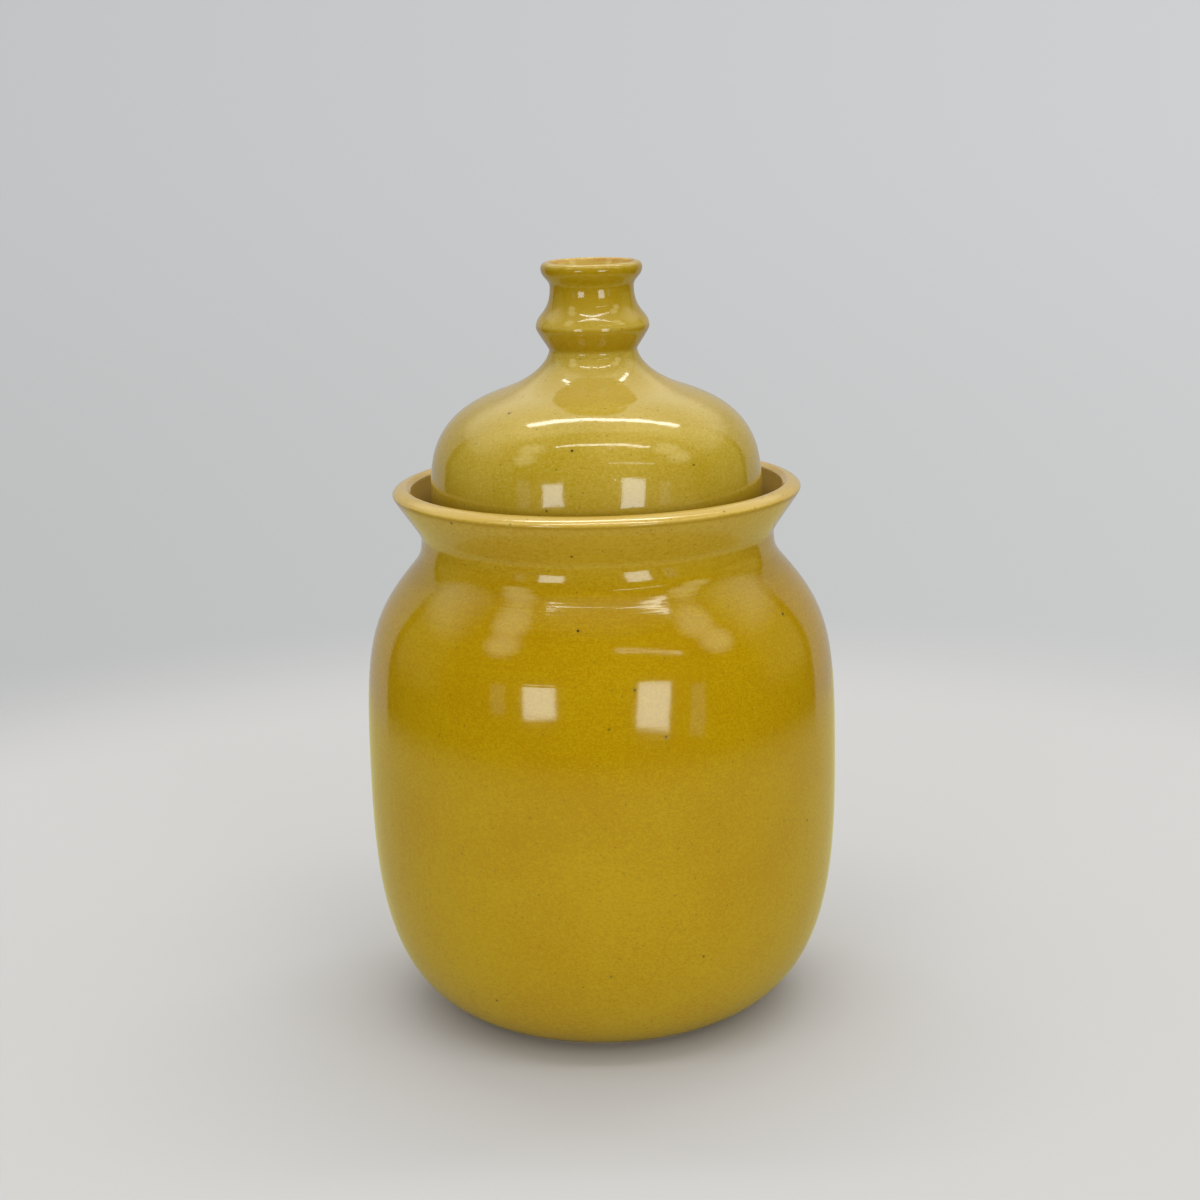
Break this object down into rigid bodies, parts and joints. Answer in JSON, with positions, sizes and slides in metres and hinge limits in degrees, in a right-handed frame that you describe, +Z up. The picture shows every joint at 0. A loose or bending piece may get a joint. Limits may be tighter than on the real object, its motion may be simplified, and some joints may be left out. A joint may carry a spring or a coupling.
{
  "type": "treat jar",
  "caption": "Round-bellied glazed stoneware jar with a flared rim and a lift-off domed lid with a turned knob, for keeping treats.",
  "frame": {"origin": "centre of the foot, on the surface that the jar stands on", "axes": "+Z up along the axis on which the jar and its lid were thrown; X and Y are level and alike"},
  "size_m": [0.1524, 0.1524, 0.244],
  "materials": {
    "body_glaze": "gloss",
    "lid_glaze": "gloss"
  },
  "bodies": {
    "jar": {"jar_body": "body_glaze"},
    "lid": {"lid": "lid_glaze"}
  },
  "joints": [
    {"name": "lid_lift", "type": "slide", "parent": "jar", "child": "lid", "axis": [0, 0, 1], "range_m": [0, 0.1]}
  ]
}
